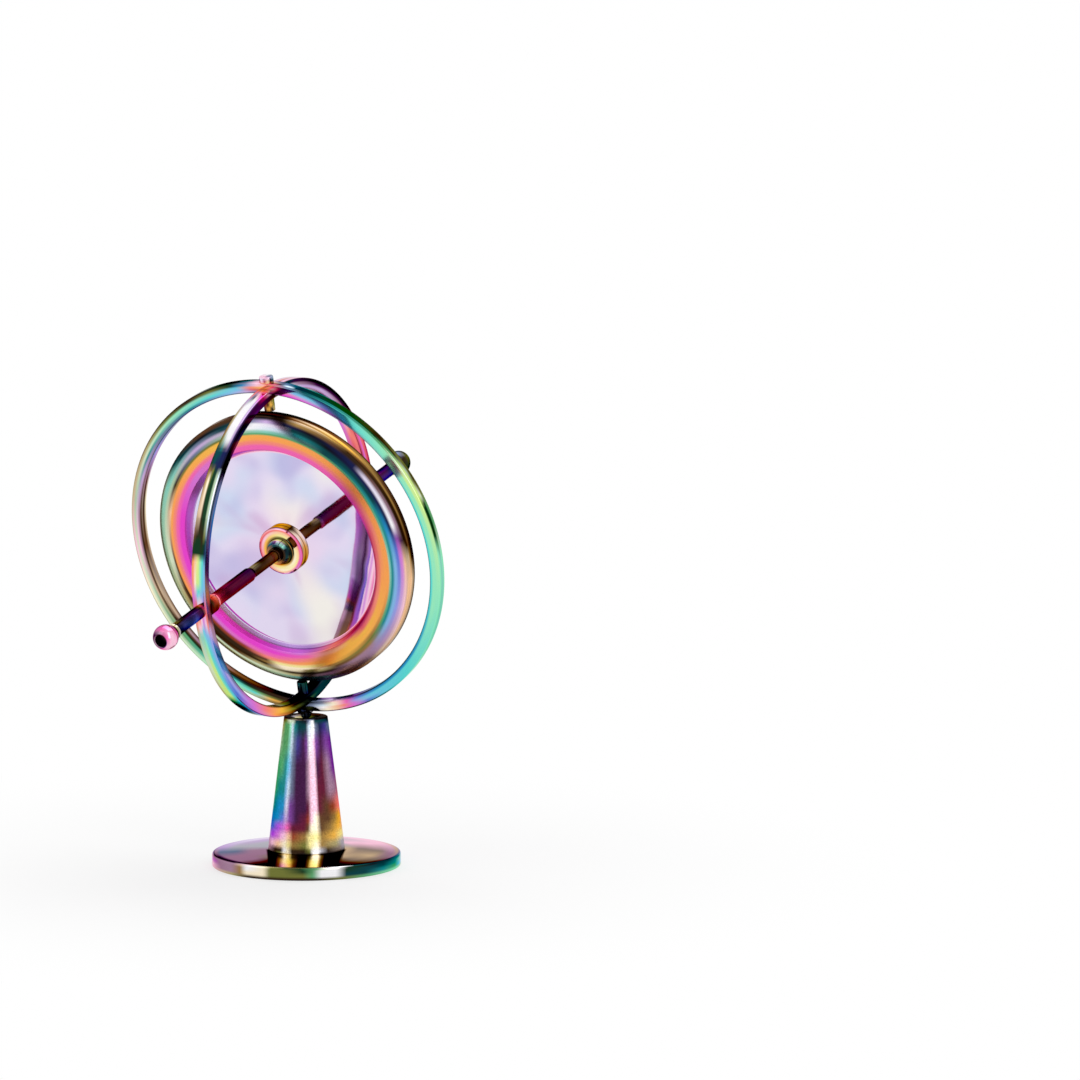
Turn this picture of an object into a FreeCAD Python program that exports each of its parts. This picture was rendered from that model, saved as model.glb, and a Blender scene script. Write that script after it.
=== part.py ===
import FreeCAD, Part

import os
import re

import Sketcher

# Two-ring gyroscope leaning on a conical pedestal. Millimetres, +Z up.
# Origin: centre of the pedestal's underside. The gyroscope's foot rests in the cup
# at the top of the pedestal. It leans towards -Y and is turned a little about its pole.
# Its own frame has the centre of the flywheel as origin. The "pole" direction runs
# through the two ring crossings, and the "axle" direction towards the front ball tip.

doc = FreeCAD.newDocument("gyroscope")
sheet = doc.addObject("Spreadsheet::Sheet", "Dim")

SIZES = [
    # pedestal
    ("base_radius", 17.6, "base disc, outer radius"),
    ("base_rim_height", 2.45, "height of the disc's upper rim"),
    ("base_centre_height", 3.0, "height of the disc where the column stands"),
    ("base_edge_round", 0.5, "rounded upper edge of the disc"),
    ("base_foot_chamfer", 0.3, "chamfer under the disc"),
    ("dome_radius", 150.0, "crown radius of the disc's polished top"),
    ("column_height", 25.0, "cone, foot to rim"),
    ("column_foot_radius", 7.2, "cone radius at the foot"),
    ("column_top_radius", 4.05, "cone radius at the rim"),
    ("column_edge", 0.25, "chamfer round the rim"),
    ("stud_radius", 2.0, "stud that joins column and disc"),
    ("stud_in_base", 2.15, "depth of the stud in the disc"),
    ("stud_in_column", 8.0, "depth of the stud in the column"),
    ("cup_radius", 3.0, "mouth of the cup"),
    ("cup_floor_radius", 0.85, "flat floor of the cup"),
    ("foot_rise", 0.5, "foot ball's centre above the cup's rim"),
    # lean and foot
    ("lean_deg", 16.0, "lean of the gyroscope from upright, towards -Y"),
    ("turn_deg", -8.5, "turn of the gyroscope about its own pole"),
    ("foot_radius", 1.1, "foot ball"),
    ("foot_stand_off", 0.9, "foot ball's centre beyond the equatorial ring"),
    # rings
    ("ring_radius", 32.5, "equatorial ring, outer radius"),
    ("ring_thick", 2.1, "equatorial ring, radial thickness"),
    ("ring_width", 2.1, "equatorial ring, width along the axle"),
    ("ring_inset", 1.2, "axial ring's outside below the equatorial ring's"),
    ("axial_thick", 2.0, "axial ring, radial thickness"),
    ("axial_width", 2.7, "axial ring, width"),
    ("ring_edge", 0.3, "broken edges of both rings"),
    # rivets at the crossings
    ("rivet_radius", 1.0, "rivet shank"),
    ("rivet_head_radius", 1.3, "outer head of the top rivet"),
    ("rivet_cap_height", 1.1, "outer head of the top rivet"),
    ("rivet_inner_length", 2.4, "shank's end inside the axial ring"),
    ("rivet_collar_radius", 1.5, "collar of the bottom rivet"),
    ("rivet_collar_height", 0.6, "collar of the bottom rivet"),
    ("rivet_edge", 0.2, "chamfer of the rivets' ends"),
    ("socket_floor_radius", 0.3, "flat floor of the foot ball's socket"),
    # flywheel
    ("wheel_gap", 4.2, "flywheel to the inside of the equatorial ring"),
    ("wheel_half_land", 1.2, "half width of the outer cylinder"),
    ("wheel_half_rim", 2.6, "half width of the rim's faces"),
    ("wheel_shoulder", 2.9, "radial width of the curved shoulder"),
    ("wheel_shoulder_arc", 6.0, "radius of the shoulder's curve"),
    ("rim_face", 3.2, "radial width of the rim's flat face"),
    ("web_half", 0.8, "half thickness of the web"),
    ("web_wall_draft", 0.9, "flare of the recess wall"),
    # hub
    ("hub_radius", 4.6, "hub flange"),
    ("hub_flange", 1.4, "thickness of the flange"),
    ("hub_nose_radius", 2.6, "hub nose at the flange"),
    ("hub_nose_tip", 1.9, "hub nose at its tip"),
    ("hub_nose_length", 1.7, "length of the nose"),
    ("hub_edge", 0.2, "chamfer round the flange"),
    # axle
    ("axle_seat_radius", 1.4, "axle where the wheel is pressed on"),
    ("axle_neck_radius", 1.1, "slim part of the axle"),
    ("axle_journal_radius", 1.35, "thick part of the axle"),
    ("axle_seat_half", 4.4, "half length of the seat"),
    ("axle_neck_end", 13.0, "where the neck ends"),
    ("axle_taper", 0.8, "length of the taper up to the thick part"),
    ("axle_gap", 0.62, "end of the axle to the bush's flange"),
    ("axle_chamfer", 0.35, "chamfer at the ends"),
    ("point_radius", 0.65, "root of the pivot point"),
    ("point_tip", 0.08, "flat of the pivot point"),
    ("point_length", 1.5, "length of the pivot point"),
    # bearings, posts and ball tips
    ("bush_radius", 1.8, "bearing bush, flange radius"),
    ("bush_flange", 2.2, "bearing bush, flange length"),
    ("bush_sleeve", 1.05, "bearing bush, length in the ring"),
    ("bush_cup_radius", 0.95, "mouth of the bearing cup"),
    ("bush_edge", 0.25, "chamfer round the flange"),
    ("post_bore_radius", 1.0, "hole through the axial ring"),
    ("post_radius", 1.25, "post outside the ring"),
    ("post_length", 9.0, "post outside the ring, as seen"),
    ("post_spigot", 0.85, "post's spigot in the ring"),
    ("post_tip_radius", 0.75, "post's end inside the ball tip"),
    ("post_tip_length", 1.9, "post's end inside the ball tip"),
    ("ball_radius", 2.3, "ball tip"),
    ("ball_neck_radius", 1.2, "neck below the ball"),
    ("ball_collar_radius", 1.5, "collar below the ball"),
    ("ball_collar_height", 0.7, "height of the collar"),
    ("ball_neck_height", 0.2, "height of the neck"),
    ("dimple_radius", 1.15, "hole in the ball's end"),
    ("dimple_depth", 1.4, "depth of that hole"),
    # clearances
    ("fit_gap", 0.02, "pressed and screwed fits"),
    ("seat_gap", 0.08, "flat seats on curved faces"),
    ("turn_gap", 0.1, "faces that turn on each other"),
]

FOLLOWING = [
    ("axial_radius", "=ring_radius - ring_inset", "axial ring, outer radius"),
    ("axial_inside", "=axial_radius - axial_thick", "axial ring, inner radius"),
    ("wheel_radius", "=ring_radius - ring_thick - wheel_gap", "flywheel, outer radius"),
    ("wheel_shoulder_radius", "=wheel_radius - wheel_shoulder", "rim's flat face, outer edge"),
    ("web_radius", "=wheel_shoulder_radius - rim_face - web_wall_draft", "recessed web"),
    ("bush_face", "=axial_inside - seat_gap - bush_flange", "bush's face from the centre"),
    ("axle_half", "=bush_face - axle_gap", "half length without the points"),
    ("foot_height", "=base_centre_height + column_height + foot_rise", "foot ball's centre"),
]

for row, (alias, value, note) in enumerate(SIZES + FOLLOWING, start=1):
    sheet.set("A%d" % row, alias)
    sheet.set("B%d" % row, str(value))
    sheet.set("C%d" % row, note)
    sheet.setAlias("B%d" % row, alias)
doc.recompute()


def named(formula):
    """Return a formula whose size names point at the sheet."""
    return re.sub("[a-z]+(_[a-z]+)+", lambda word: "Dim." + word.group(0), formula)


def value_of(formula):
    """Return the present value of a formula in millimetres."""
    return float(sheet.evalExpression(named(formula)))


def origin_plane(body, role):
    """Return one of the body's own origin planes."""
    for feature in body.Origin.OriginFeatures:
        if feature.Role == role:
            return feature
    raise ValueError(role)


def new_body(name):
    body = doc.addObject("PartDesign::Body", name)
    body.Label = name
    return body


def new_sketch(body, name, role):
    sketch = body.newObject("Sketcher::SketchObject", name)
    sketch.AttachmentSupport = [(origin_plane(body, role), "")]
    sketch.MapMode = "FlatFace"
    return sketch


def pin_point(sketch, edge, end, across, up):
    """Hold one end of an edge at two formulas, measured from the sketch's origin."""
    for kind, formula in (("DistanceX", across), ("DistanceY", up)):
        number = value_of(formula)
        index = sketch.addConstraint(Sketcher.Constraint(kind, -1, 1, edge, end, number))
        sketch.setExpression("Constraints[%d]" % index, named(formula))


def ends_of(corner):
    """Point numbers of an edge's two ends. An arc that bulges to its left runs the
    other way round."""
    backwards = len(corner) == 4 and corner[3] > 0
    return (2, 1) if backwards else (1, 2)


def closed_profile(sketch, corners):
    """Draw a closed outline. A corner is (across, up) or (across, up, radius, side):
    with a radius, the edge that leaves it is an arc, which bulges to its left for
    side +1 and to its right for side -1."""
    places = [FreeCAD.Vector(value_of(c[0]), value_of(c[1]), 0) for c in corners]
    count = len(corners)
    for i, corner in enumerate(corners):
        start, end = places[i], places[(i + 1) % count]
        if len(corner) == 2:
            sketch.addGeometry(Part.LineSegment(start, end), False)
            continue
        chord = end - start
        half = chord.Length / 2
        radius = value_of(corner[2])
        rise = radius - (radius ** 2 - half ** 2) ** 0.5
        left = FreeCAD.Vector(-chord.y, chord.x, 0).normalize()
        middle = (start + end) * 0.5 + left * rise * corner[3]
        sketch.addGeometry(Part.Arc(start, middle, end), False)
    for i, corner in enumerate(corners):
        first, _ = ends_of(corner)
        _, last = ends_of(corners[i - 1])
        pin_point(sketch, i, first, corner[0], corner[1])
        sketch.addConstraint(Sketcher.Constraint("Coincident", (i - 1) % count, last, i, first))
        if len(corner) == 4:
            index = sketch.addConstraint(Sketcher.Constraint("Radius", i, value_of(corner[2])))
            sketch.setExpression("Constraints[%d]" % index, named(corner[2]))


def revolved(name, corners, axis="V_Axis"):
    """A turned piece: a profile in the body's XZ plane, turned about Z or X."""
    body = new_body(name)
    sketch = new_sketch(body, name + "_profile", "XZ_Plane")
    closed_profile(sketch, corners)
    turn = body.newObject("PartDesign::Revolution", name + "_turn")
    turn.Profile = sketch
    turn.ReferenceAxis = (sketch, [axis])
    turn.Angle = 360
    doc.recompute()
    return body


def cross_hole(body, role, radius, tag):
    """A round hole right through a ring, square to one of its origin planes."""
    sketch = new_sketch(body, body.Name + "_" + tag, role)
    sketch.addGeometry(Part.Circle(FreeCAD.Vector(), FreeCAD.Vector(0, 0, 1), value_of(radius)))
    sketch.addConstraint(Sketcher.Constraint("Coincident", 0, 3, -1, 1))
    index = sketch.addConstraint(Sketcher.Constraint("Radius", 0, value_of(radius)))
    sketch.setExpression("Constraints[%d]" % index, named(radius))
    before = body.Shape.Volume
    pocket = body.newObject("PartDesign::Pocket", body.Name + "_" + tag + "_cut")
    pocket.Profile = sketch
    pocket.Midplane = True
    pocket.setExpression("Length", named("4 * ring_radius"))
    doc.recompute()
    check_removed(body, before)


def check_removed(body, before):
    if body.Shape.Volume >= before:
        raise RuntimeError("nothing was cut from " + body.Label)


def place_gyro(body, tip):
    """Put a piece of the gyroscope on its foot, leaning and turned about its pole.
    Tip says which way the piece's own Z points, in quarter turns from the pole."""
    reach = "ring_radius + foot_stand_off"
    steps = [
        "placement(vector(0; 0; foot_height); rotation(vector(1; 0; 0); lean_deg))",
        "placement(vector(0; 0; %s); rotation(vector(0; 0; 1); turn_deg))" % reach,
        "placement(vector(0; 0; 0); rotation(vector(1; 0; 0); %d * 90))" % tip]
    body.setExpression("Placement", named(" * ".join(steps)))


# Quarter turns from the pole: the top crossing, the front tip, the bottom crossing
# and the rear tip.
POLE, FRONT, FOOT, REAR = range(4)


def base_disc():
    """Polished disc with a slightly crowned top and a blind hole for the stud."""
    hole = "stud_radius + fit_gap"
    floor = "base_centre_height - stud_in_base - fit_gap"
    return revolved("base_disc", [
        ("0", "0"),
        ("base_radius - base_foot_chamfer", "0"),
        ("base_radius", "base_foot_chamfer"),
        ("base_radius", "base_rim_height - base_edge_round", "base_edge_round", -1),
        ("base_radius - base_edge_round", "base_rim_height", "dome_radius", -1),
        ("column_foot_radius + base_foot_chamfer", "base_centre_height"),
        (hole, "base_centre_height"),
        (hole, floor),
        ("0", floor)])


def column():
    """Satin cone with the cup in its top and a blind hole for the stud."""
    hole = "stud_radius + fit_gap"
    roof = "base_centre_height + stud_in_column + fit_gap"
    rim = "base_centre_height + column_height"
    cup_floor = "foot_height - foot_radius - turn_gap"
    return revolved("column", [
        (hole, "base_centre_height"),
        ("column_foot_radius", "base_centre_height"),
        ("column_top_radius", rim + " - column_edge"),
        ("column_top_radius - column_edge", rim),
        ("cup_radius", rim),
        ("cup_floor_radius", cup_floor),
        ("0", cup_floor),
        ("0", roof),
        (hole, roof)])


def column_stud():
    low = "base_centre_height - stud_in_base"
    high = "base_centre_height + stud_in_column"
    return revolved("column_stud", [
        ("0", low), ("stud_radius", low), ("stud_radius", high), ("0", high)])


def foot_ball():
    """Ball that turns in the cup. Its centre is where the gyroscope leans and swivels."""
    body = new_body("foot_ball")
    ball = body.newObject("PartDesign::AdditiveSphere", "foot_ball_sphere")
    ball.setExpression("Radius", "Dim.foot_radius")
    doc.recompute()
    body.setExpression("Placement.Base.z", "Dim.foot_height")
    return body


def ring_section(inner, outer, half):
    """Corners of a ring's section with broken edges: across is radial, up is axial."""
    return [
        (inner + " + ring_edge", "-" + half),
        (outer + " - ring_edge", "-" + half),
        (outer, "-" + half + " + ring_edge"),
        (outer, half + " - ring_edge"),
        (outer + " - ring_edge", half),
        (inner + " + ring_edge", half),
        (inner, half + " - ring_edge"),
        (inner, "-" + half + " + ring_edge")]


def equatorial_ring():
    """Outer ring in the flywheel's plane, with a rivet hole at each crossing."""
    body = revolved("equatorial_ring", ring_section(
        "ring_radius - ring_thick", "ring_radius", "ring_width / 2"))
    cross_hole(body, "XZ_Plane", "rivet_radius + fit_gap", "rivet_hole")
    place_gyro(body, FRONT)
    return body


def axial_ring():
    """Ring that carries the bearings. It is notched to sit inside the equatorial ring."""
    section = ring_section("axial_inside", "axial_radius", "axial_width / 2")
    body = revolved("axial_ring", [(up, across) for across, up in section], "H_Axis")
    notch = new_sketch(body, "axial_ring_notch", "YZ_Plane")
    floor = "ring_radius - ring_thick - seat_gap"
    side = "ring_width / 2 + fit_gap"
    lid = "ring_radius + ring_thick"
    for sign in ("", "-"):
        edges = ("%s(%s)" % (sign, floor), "%s(%s)" % (sign, lid))
        corners = [(edges[0], "-(%s)" % side), (edges[1], "-(%s)" % side),
                   (edges[1], side), (edges[0], side)]
        rectangle(notch, corners)
    before = body.Shape.Volume
    cut = body.newObject("PartDesign::Pocket", "axial_ring_notch_cut")
    cut.Profile = notch
    cut.Midplane = True
    cut.setExpression("Length", named("2 * axial_width"))
    doc.recompute()
    check_removed(body, before)
    cross_hole(body, "XZ_Plane", "rivet_radius + fit_gap", "rivet_hole")
    cross_hole(body, "XY_Plane", "post_bore_radius + fit_gap", "post_hole")
    place_gyro(body, FRONT)
    return body


def rectangle(sketch, corners):
    """Add one more closed outline of straight edges to a sketch."""
    first = sketch.GeometryCount
    places = [FreeCAD.Vector(value_of(x), value_of(y), 0) for x, y in corners]
    for i in range(4):
        sketch.addGeometry(Part.LineSegment(places[i], places[(i + 1) % 4]), False)
    for i in range(4):
        sketch.addConstraint(Sketcher.Constraint("Coincident", first + (i - 1) % 4, 2, first + i, 1))
        pin_point(sketch, first + i, 1, corners[i][0], corners[i][1])


def top_rivet():
    """Rivet with a round outer head. Its shank stands proud inside the rings."""
    low = "axial_inside - rivet_inner_length"
    high = "ring_radius + rivet_cap_height"
    body = revolved("top_rivet", [
        ("0", low),
        ("rivet_radius - rivet_edge", low),
        ("rivet_radius", low + " + rivet_edge"),
        ("rivet_radius", "ring_radius"),
        ("rivet_head_radius", "ring_radius"),
        ("rivet_head_radius", high + " - rivet_edge"),
        ("rivet_head_radius - rivet_edge", high),
        ("0", high)])
    place_gyro(body, POLE)
    return body


def bottom_rivet():
    """Like the top rivet, with a collar whose socket holds the foot ball."""
    low = "axial_inside - rivet_inner_length"
    high = "ring_radius + rivet_collar_height"
    centre = "ring_radius + foot_stand_off"
    socket = "foot_radius + turn_gap"
    mouth = "sqrt((%s) ^ 2 - (foot_stand_off - rivet_collar_height) ^ 2)" % socket
    floor = centre + " - sqrt((%s) ^ 2 - socket_floor_radius ^ 2)" % socket
    body = revolved("bottom_rivet", [
        ("0", low),
        ("rivet_radius - rivet_edge", low),
        ("rivet_radius", low + " + rivet_edge"),
        ("rivet_radius", "ring_radius"),
        ("rivet_collar_radius", "ring_radius"),
        ("rivet_collar_radius", high),
        (mouth, high, socket, 1),
        ("socket_floor_radius", floor),
        ("0", floor)])
    place_gyro(body, FOOT)
    return body


def flywheel():
    """Turned wheel: a heavy rim with curved shoulders round a thin mirror web."""
    bore = "axle_seat_radius + fit_gap"
    front = [
        (bore, "web_half"),
        ("web_radius", "web_half"),
        ("web_radius + web_wall_draft", "wheel_half_rim"),
        ("wheel_shoulder_radius", "wheel_half_rim"),
        ("wheel_radius", "wheel_half_land")]
    back = [(across, "-" + up) for across, up in reversed(front)]
    back[0] = back[0] + ("wheel_shoulder_arc", 1)
    front[3] = front[3] + ("wheel_shoulder_arc", 1)
    body = revolved("flywheel", front + back)
    place_gyro(body, FRONT)
    return body


def axle():
    """Turned shaft with a seat for the wheel, slim necks and a point at each end."""
    half = [
        ("axle_seat_radius", "axle_seat_half"),
        ("axle_neck_radius", "axle_seat_half"),
        ("axle_neck_radius", "axle_neck_end"),
        ("axle_journal_radius", "axle_neck_end + axle_taper"),
        ("axle_journal_radius", "axle_half - axle_chamfer"),
        ("axle_journal_radius - axle_chamfer", "axle_half"),
        ("point_radius", "axle_half"),
        ("point_tip", "axle_half + point_length"),
        ("0", "axle_half + point_length")]
    mirrored = [(across, "-(%s)" % up) for across, up in reversed(half)]
    body = revolved("axle", half + mirrored)
    place_gyro(body, FRONT)
    return body


def hub_flange(side, tip):
    """Flanged collar pressed on the axle against the web, with a rounded nose."""
    bore = "axle_seat_radius + fit_gap"
    face = "web_half + hub_flange"
    nose = face + " + hub_nose_length"
    body = revolved(side + "_hub_flange", [
        (bore, "web_half"),
        ("hub_radius", "web_half"),
        ("hub_radius", face + " - hub_edge"),
        ("hub_radius - hub_edge", face),
        ("hub_nose_radius", face, "hub_nose_length * 1.6", -1),
        ("hub_nose_tip", nose),
        (bore, nose)])
    place_gyro(body, tip)
    return body


def bearing_bush(side, tip):
    """Flanged bush in the axial ring. The axle's point runs in its conical cup."""
    back = "axial_inside - seat_gap"
    body = revolved(side + "_bearing_bush", [
        ("0", "axle_half + point_length + turn_gap"),
        ("bush_cup_radius", "bush_face"),
        ("bush_radius - bush_edge", "bush_face"),
        ("bush_radius", "bush_face + bush_edge"),
        ("bush_radius", back),
        ("post_bore_radius", back),
        ("post_bore_radius", back + " + bush_sleeve"),
        ("0", back + " + bush_sleeve")])
    place_gyro(body, tip)
    return body


def pivot_post(side, tip):
    """Post screwed into the axial ring from outside. It carries the ball tip."""
    ring = "axial_radius"
    shoulder = ring + " + post_length"
    body = revolved(side + "_pivot_post", [
        ("0", ring + " - post_spigot"),
        ("post_bore_radius", ring + " - post_spigot"),
        ("post_bore_radius", ring),
        ("post_radius", ring),
        ("post_radius", shoulder),
        ("post_tip_radius", shoulder),
        ("post_tip_radius", shoulder + " + post_tip_length"),
        ("0", shoulder + " + post_tip_length")])
    place_gyro(body, tip)
    return body


def ball_tip(side, tip):
    """Ball with a collar and a drilled end, screwed on the post."""
    low = "axial_radius + post_length"
    collar = low + " + ball_collar_height"
    neck = collar + " + ball_neck_height"
    centre = neck + " + sqrt( ball_radius ^ 2 - ball_neck_radius ^ 2 )"
    mouth = centre + " + sqrt( ball_radius ^ 2 - dimple_radius ^ 2 )"
    bore_end = low + " + post_tip_length + fit_gap"
    body = revolved(side + "_ball_tip", [
        ("post_tip_radius + fit_gap", low),
        ("ball_collar_radius", low),
        ("ball_collar_radius", collar),
        ("ball_neck_radius", collar),
        ("ball_neck_radius", neck, "ball_radius", -1),
        ("dimple_radius", mouth),
        ("dimple_radius", mouth + " - dimple_depth"),
        ("0", mouth + " - dimple_depth"),
        ("0", bore_end),
        ("post_tip_radius + fit_gap", bore_end)])
    place_gyro(body, tip)
    return body


pieces = [base_disc(), column(), column_stud(), foot_ball(), equatorial_ring(), axial_ring(),
          top_rivet(), bottom_rivet(), flywheel(), axle()]
for side, tip in (("front", FRONT), ("rear", REAR)):
    for make in (hub_flange, bearing_bush, pivot_post, ball_tip):
        pieces.append(make(side, tip))
doc.recompute()

for item in doc.Objects:
    if "Invalid" in item.State or "Error" in item.State:
        raise RuntimeError("%s failed: %s" % (item.Name, item.State))
for piece in pieces:
    shape = piece.Shape
    if shape.isNull() or not shape.isValid() or len(shape.Solids) != 1:
        raise RuntimeError(piece.Label + " has no valid single solid")

os.makedirs("parts", exist_ok=True)
for piece in pieces:
    piece.Shape.exportStep("parts/%s.step" % piece.Label)
    box = piece.Shape.BoundBox
    print("%-20s volume %9.2f  z %7.2f to %7.2f" % (
        piece.Label, piece.Shape.Volume, box.ZMin, box.ZMax))
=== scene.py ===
import math

import bpy
import numpy as np
from mathutils import Matrix, Vector


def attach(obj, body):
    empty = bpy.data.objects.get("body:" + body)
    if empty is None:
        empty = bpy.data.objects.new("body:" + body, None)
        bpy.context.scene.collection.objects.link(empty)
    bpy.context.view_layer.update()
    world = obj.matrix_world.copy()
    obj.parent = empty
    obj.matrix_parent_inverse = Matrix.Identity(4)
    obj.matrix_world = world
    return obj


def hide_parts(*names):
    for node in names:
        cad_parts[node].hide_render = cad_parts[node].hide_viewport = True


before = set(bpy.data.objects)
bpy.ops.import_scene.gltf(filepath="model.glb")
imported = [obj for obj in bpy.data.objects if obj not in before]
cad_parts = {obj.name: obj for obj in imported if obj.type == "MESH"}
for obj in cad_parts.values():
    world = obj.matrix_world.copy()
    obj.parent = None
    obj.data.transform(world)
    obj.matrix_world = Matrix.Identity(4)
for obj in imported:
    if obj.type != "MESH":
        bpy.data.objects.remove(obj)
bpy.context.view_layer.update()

MM = 0.001

# ---------- sizes in millimetres

# Pedestal, with heights above the table.
BASE_RADIUS = 17.6
BASE_RIM_HEIGHT = 2.45
BASE_HEIGHT = 3.0
DOME_START = 17.15
DOME_END = 7.3
DOME_RADIUS = 150.0
STUD_RADIUS = 2.0
CONE_FOOT_RADIUS = 7.15
CONE_RIM_RADIUS = 4.05
CONE_HEIGHT = 28.0
CUP_RADIUS = 3.0
CUP_FLOOR_RADIUS = 0.85
CUP_FLOOR_HEIGHT = 27.3
FOOT_RADIUS = 1.1
FOOT_HEIGHT = 28.5

# Rings, and the rivets with heights from the rings' centre.
RING_OUTER = 32.5
RING_INNER = 30.4
RING_HALF = 1.05
AXIAL_OUTER = 31.3
AXIAL_INNER = 29.3
AXIAL_HALF = 1.35
RING_EDGE = 0.32
SHANK_RADIUS = 1.0
SHANK_END = 26.92
HEAD_RADIUS = 1.3
HEAD_TOP = 33.6
COLLAR_RADIUS = 1.5
COLLAR_TOP = 33.1
SOCKET_RADIUS = 1.16
SOCKET_FLOOR_RADIUS = 0.3
SOCKET_FLOOR = 32.24

# Flywheel and hub.
WHEEL_RADIUS = 26.2
LAND_HALF = 1.2
SHOULDER_RADIUS = 23.3
SHOULDER_ARC = 6.0
RIM_HALF = 2.6
RIM_INNER = 20.1
WEB_RADIUS = 19.2
WEB_HALF = 0.8
WHEEL_BORE = 1.0
HUB_BORE = 1.35
HUB_RADIUS = 4.6
HUB_EDGE = 1.95
HUB_FACE_RADIUS = 4.2
HUB_FACE = 2.2
NOSE_RADIUS = 2.6
NOSE_BEND = (2.45, 3.0)
NOSE_TIP = 1.9
NOSE_END = 3.9

# Axle, bushes, posts and ball tips, with heights from the centre along the axle.
SEAT_RADIUS = 1.4
SEAT_HALF = 4.4
NECK_RADIUS = 1.1
NECK_END = 13.0
TAPER = 0.8
JOURNAL_RADIUS = 1.35
AXLE_HALF = 26.4
POINT_RADIUS = 0.65
POINT_TIP = 0.08
POINT_END = 27.9
BUSH_RADIUS = 1.8
BUSH_FACE = 27.02
CUP_MOUTH = 0.95
CUP_END = 28.0
SPIGOT_RADIUS = 1.0
BUSH_SEAT = 29.28
BUSH_END = 30.2
POST_START = 30.5
POST_SHOULDER = 31.26
POST_RADIUS = 1.25
POST_END = 40.3
THREAD_RADIUS = 0.75
THREAD_END = 42.2
TIP_BORE = 0.77
TIP_BORE_END = 42.25
TIP_COLLAR_RADIUS = 1.5
TIP_COLLAR_END = 41.0
TIP_NECK_RADIUS = 1.2
TIP_NECK_END = 41.2
TIP_RADIUS = 2.3
DIMPLE_RADIUS = 1.16
DIMPLE_MOUTH = 1.3
DIMPLE_CHAMFER = 0.14
DIMPLE_DEPTH = 1.4
DIMPLE_MARGIN = 0.05
TIP_MIDDLE = TIP_NECK_END + math.sqrt(TIP_RADIUS ** 2 - TIP_NECK_RADIUS ** 2)
TIP_MOUTH = TIP_MIDDLE + math.sqrt(TIP_RADIUS ** 2 - DIMPLE_MOUTH ** 2)

# Camera: its direction, and its place from VIEW_AIM by its own right, up and back.
VIEW_AZIMUTH = math.radians(19.5)
VIEW_PITCH = math.radians(6.72)
VIEW_AIM = Vector((0, 0, 2.5))
VIEW_RIGHT = 43.53
VIEW_UP = 57.97
VIEW_BACK = 1015.43
SENSOR = 36.0
FOCAL_PIXELS = 5447
PHOTO_PIXELS = 1080

# Studio, in metres, and how bright the white room is where it lights the object.
LAMP_TARGET = Vector((0, 0, 0.05))
FLOOR_REACH = 4.0
ROOM_LIGHT = 0.75

# ---------- the gyroscope's own frame

LEAN = math.radians(16.0)
TURN = math.radians(-8.5)
REACH = 33.4

TILT = Matrix.Rotation(LEAN, 3, "X") @ Matrix.Rotation(TURN, 3, "Z")
SIDE = TILT @ Vector((1, 0, 0))
POLE = TILT @ Vector((0, 0, 1))
AXLE = TILT @ Vector((0, -1, 0))
CENTRE = Vector((0, 0, FOOT_HEIGHT)) + REACH * POLE


class Place:
    """A turned piece's own axes and origin in the model, in millimetres."""

    def __init__(self, x, y, z, origin):
        self.x, self.y, self.z, self.origin = x, y, z, origin

    def way(self, v):
        return v[0] * self.x + v[1] * self.y + v[2] * self.z

    def spot(self, v):
        return (self.origin + self.way(v)) * MM


UPRIGHT = [Vector((1, 0, 0)), Vector((0, 1, 0)), Vector((0, 0, 1))]
STAND = Place(*UPRIGHT, Vector((0, 0, 0)))
BALL = Place(*UPRIGHT, Vector((0, 0, FOOT_HEIGHT)))
WHEEL = Place(SIDE, POLE, AXLE, CENTRE)
BEARING = Place(POLE, AXLE, SIDE, CENTRE)
TOP = Place(SIDE, -AXLE, POLE, CENTRE)
BOTTOM = Place(SIDE, AXLE, -POLE, CENTRE)
REAR = Place(SIDE, -POLE, -AXLE, CENTRE)
ENDS = {"front": WHEEL, "rear": REAR}

# ---------- turned meshes

TINY = 1e-6


def right_of(direction):
    return np.array([direction[1], -direction[0]])


def unit(vector):
    return vector / np.linalg.norm(vector)


def arc_run(start, end, centre, sense, steps):
    """A run along the arc from start to end: sense +1 is a bulge and -1 a hollow."""
    radius = np.linalg.norm(start - centre)
    first = math.atan2(*(start - centre)[::-1])
    last = math.atan2(*(end - centre)[::-1])
    sweep = (last - first) * sense % (2 * math.pi) * sense
    angles = [first + sweep * k / steps for k in range(steps + 1)]
    rays = [np.array([math.cos(angle), math.sin(angle)]) for angle in angles]
    return [(centre + ray * radius, ray * sense) for ray in rays]


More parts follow.
